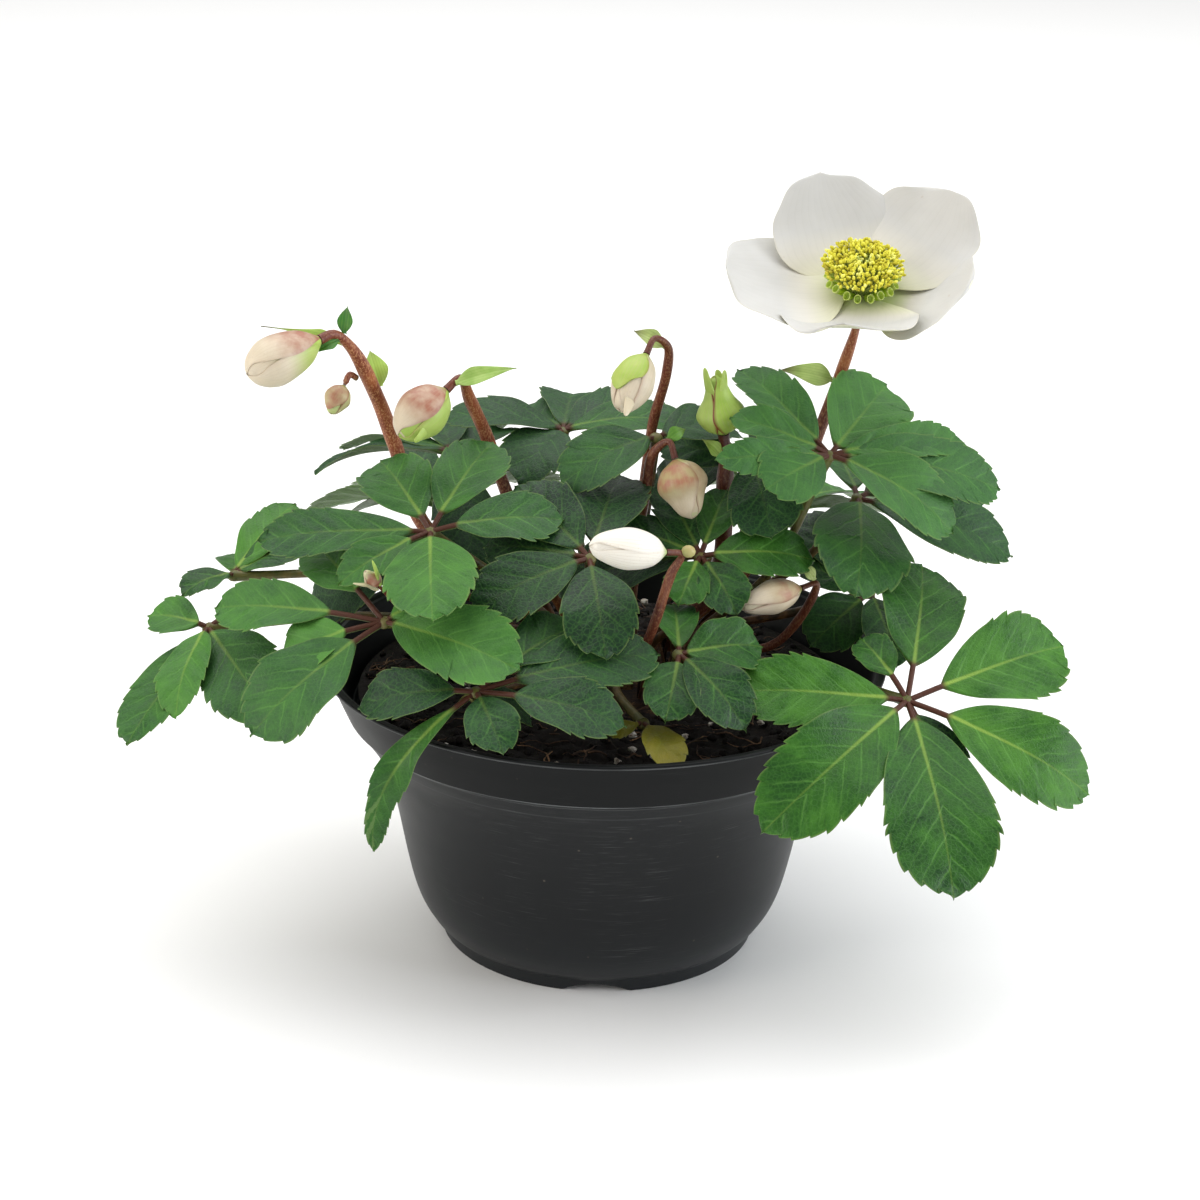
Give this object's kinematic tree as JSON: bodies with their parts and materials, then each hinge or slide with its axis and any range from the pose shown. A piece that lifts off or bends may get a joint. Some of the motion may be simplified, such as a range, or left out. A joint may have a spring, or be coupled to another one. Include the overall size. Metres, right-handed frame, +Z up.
{
  "type": "hellebore plant in a pot",
  "caption": "Christmas rose with leathery leaves of toothed leaflets, nodding buds and an open white flower, growing in a plain round black nursery bowl.",
  "frame": {"origin": "centre of the pot's base, on the surface that the pot stands on", "axes": "+Z up along the pot's axis, -Y towards the plant's front, +X towards the side with the open flower"},
  "size_m": [0.3119, 0.2254, 0.2568],
  "materials": {
    "pot": "satin injection-moulded polypropylene, charcoal black",
    "soil": "crumbly dark peat compost with a few perlite crumbs",
    "crown": "rough dry leaf bases and rootlets",
    "leaf": "satin leathery leaf, dark green with lime midrib",
    "stem": "satin purple-brown stem, finely speckled",
    "bract": "thin pale green bract",
    "bud": "satin cream sepals flushed pink and green",
    "petal": "satin white sepal with faint veins",
    "receptacle": "satin green flower base",
    "nectary": "glossy lime green",
    "stamen": "powdery yellow anthers on pale filaments",
    "carpel": "satin pale green"
  },
  "bodies": {
    "root": {"pot": "pot", "soil": "soil", "crown": "crown", "leaf_right_front": "leaf", "leaf_right_low": "leaf", "leaf_right_high": "leaf", "leaf_right_back": "leaf", "leaf_left_high": "leaf", "leaf_left_front": "leaf", "leaf_far_left": "leaf", "leaf_far_left_back": "leaf", "leaf_front_low": "leaf", "leaf_centre": "leaf", "leaf_centre_low": "leaf", "leaf_centre_right": "leaf", "leaf_top_back": "leaf", "leaf_top_left": "leaf", "leaf_top_right": "leaf", "leaf_dark_right": "leaf", "leaf_yellow": "leaf", "leaf_back_left": "leaf", "leaf_back_right": "leaf", "stem_left": "stem", "bud_left": "bud", "stem_left_small": "stem", "bud_left_small": "bud", "stem_second": "stem", "bud_second": "bud", "stem_tall": "stem", "bud_tall": "bud", "stem_upright": "stem", "bud_upright": "bud", "stem_hanging": "stem", "bud_hanging": "bud", "stem_white": "stem", "bud_white": "bud", "stem_pink": "stem", "bud_pink": "bud", "stem_tiny": "stem", "bud_tiny": "bud", "stem_open": "stem", "bract_left_hair": "bract", "bract_left_upper": "bract", "bract_left_node": "bract", "bract_second": "bract", "bract_tall": "bract", "bract_hanging": "bract", "bract_pink": "bract", "bract_open": "bract", "bract_flower": "bract", "bract_upright": "bract", "receptacle": "receptacle", "petal_1": "petal", "petal_2": "petal", "petal_3": "petal", "petal_4": "petal", "petal_5": "petal", "nectaries": "nectary", "stamens": "stamen", "carpels": "carpel"}
  },
  "joints": []
}
